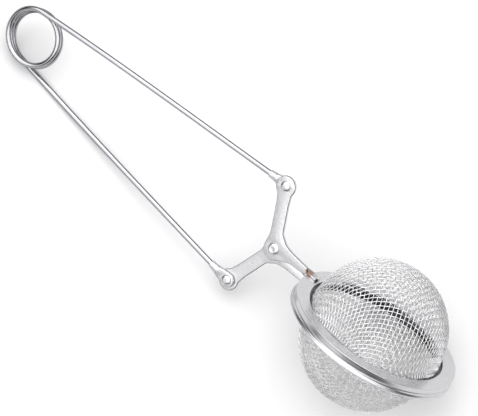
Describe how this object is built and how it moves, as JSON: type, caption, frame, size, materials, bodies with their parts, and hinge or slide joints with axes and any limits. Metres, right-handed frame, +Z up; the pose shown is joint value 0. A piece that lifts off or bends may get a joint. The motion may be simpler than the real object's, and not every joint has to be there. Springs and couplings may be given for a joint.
{
  "type": "tea infuser",
  "caption": "Spring-handled tea infuser: two woven steel mesh half balls in folded rims on pivoted levers, opened by squeezing a coiled wire handle.",
  "frame": {"origin": "middle of the footprint, on the surface that the closed infuser lies on", "axes": "+Z up, +X along the handle from its coil to the ball"},
  "size_m": [0.1662, 0.0428, 0.042],
  "materials": {
    "spring_wire": "bright drawn wire",
    "lever_steel": "tumbled stamping",
    "ferrule_steel": "tumbled stamping",
    "rivet_steel": "bright",
    "rim_steel": "satin",
    "mesh_steel": "woven wire"
  },
  "bodies": {
    "lower_jaw": {"lower_lever": "lever_steel", "lower_rim_ring": "rim_steel", "lower_mesh_bowl": "mesh_steel", "pivot_rivet": "rivet_steel"},
    "upper_jaw": {"upper_lever": "lever_steel", "upper_rim_ring": "rim_steel", "upper_mesh_bowl": "mesh_steel"},
    "upper_leg": {"upper_leg_wire": "spring_wire", "upper_ferrule": "ferrule_steel", "upper_leg_rivet": "rivet_steel"},
    "lower_leg": {"lower_leg_wire": "spring_wire", "lower_ferrule": "ferrule_steel", "lower_leg_rivet": "rivet_steel"}
  },
  "joints": [
    {"name": "jaw_pivot", "type": "hinge", "parent": "lower_jaw", "child": "upper_jaw", "pos_m": [0.02017, 0, 0.01723], "axis": [-0.0797, -0.6083, 0.7897], "range_deg": [0, 90], "stiffness_Nm_per_rad": 0.04, "springref_deg": -22.92},
    {"name": "upper_leg_pivot", "type": "hinge", "parent": "upper_jaw", "child": "upper_leg", "pos_m": [0.01234, 0.0133, 0.02669], "axis": [-0.0797, -0.6083, 0.7897], "range_deg": [-52, 0]},
    {"name": "lower_leg_pivot", "type": "hinge", "parent": "lower_jaw", "child": "lower_leg", "pos_m": [0.01439, -0.0133, 0.0064], "axis": [-0.0797, -0.6083, 0.7897], "range_deg": [0, 52]}
  ],
  "couplings": [
    {"joint": "upper_leg_pivot", "follows": "jaw_pivot", "ratio": -0.56993},
    {"joint": "lower_leg_pivot", "follows": "jaw_pivot", "ratio": 0.56993}
  ]
}
